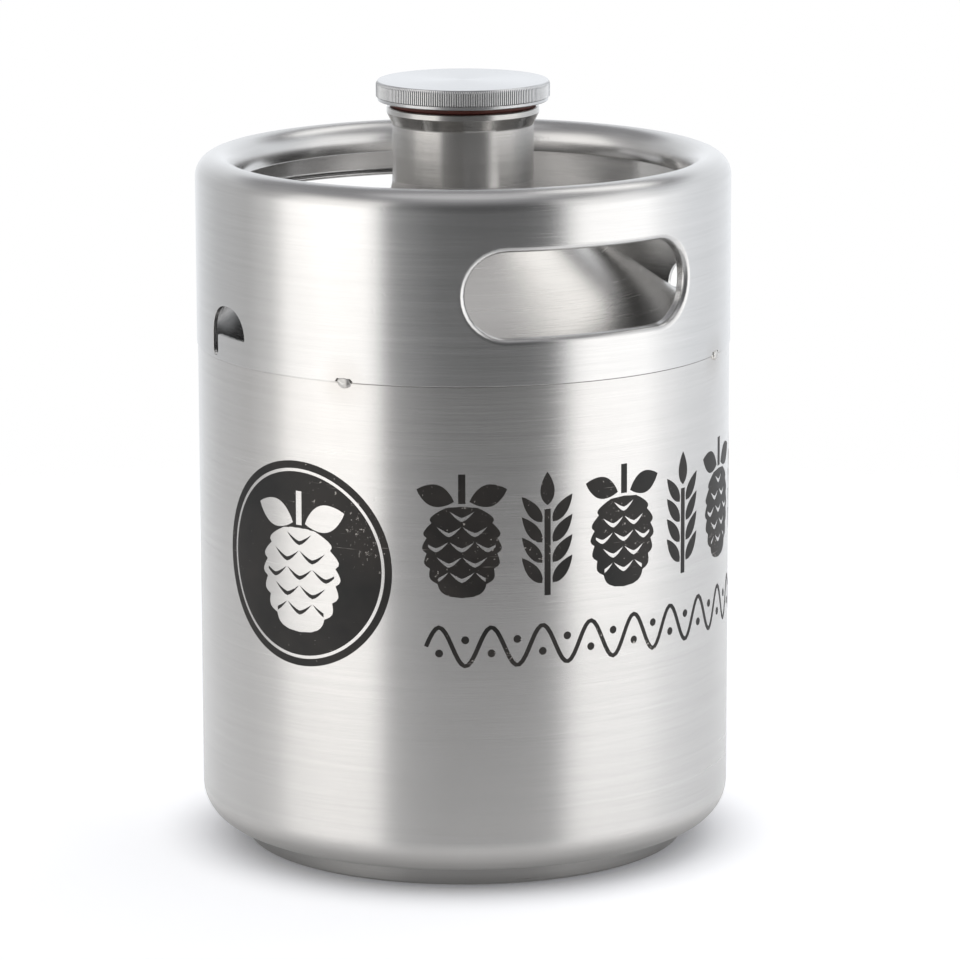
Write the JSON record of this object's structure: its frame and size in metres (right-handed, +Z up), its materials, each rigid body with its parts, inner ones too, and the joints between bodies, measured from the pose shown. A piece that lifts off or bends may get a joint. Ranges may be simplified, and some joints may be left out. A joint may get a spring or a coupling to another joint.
{
  "type": "mini beer keg",
  "caption": "Stainless steel mini beer keg with a collar handle, two hand slots, a foot ring and a threaded screw cap on a gasket.",
  "frame": {"origin": "centre of the base, on the plane that the foot ring stands on", "axes": "+Z up along the keg's axis, with the hand slots facing -Y and +Y"},
  "size_m": [0.137, 0.137, 0.1967],
  "materials": {
    "brushed_body": "satin, brushed round the body",
    "brushed_dome": "satin, spun",
    "brushed_collar": "satin, brushed round the collar",
    "brushed_foot": "satin",
    "turned_steel": "fine turned, nearly bright",
    "turned_cap": "fine turned with a straight-knurled rim",
    "weld": "as welded, slightly heat-tinted",
    "silicone": "matt dark red-brown silicone"
  },
  "bodies": {
    "keg": {"body_shell": "brushed_body", "body_dome": "brushed_dome", "girth_weld": "weld", "neck": "turned_steel", "neck_weld": "weld", "handle_collar": "brushed_collar", "foot_ring": "brushed_foot", "collar_tack_weld_1": "weld", "collar_tack_weld_2": "weld", "collar_tack_weld_3": "weld", "collar_tack_weld_4": "weld", "foot_tack_weld_1": "weld", "foot_tack_weld_2": "weld", "foot_tack_weld_3": "weld", "foot_tack_weld_4": "weld"},
    "seal": {"cap_gasket": "silicone"},
    "cap": {"screw_cap": "turned_cap"}
  },
  "joints": [
    {"name": "cap_rise", "type": "slide", "parent": "keg", "child": "seal", "axis": [0, 0, 1], "range_m": [0, 0.012]},
    {"name": "cap_turn", "type": "hinge", "parent": "seal", "child": "cap", "pos_m": [0, 0, 0.19], "axis": [0, 0, 1], "range_deg": [0, 1440]}
  ],
  "couplings": [
    {"joint": "cap_rise", "follows": "cap_turn", "m_per_rad": 0.00047746}
  ]
}
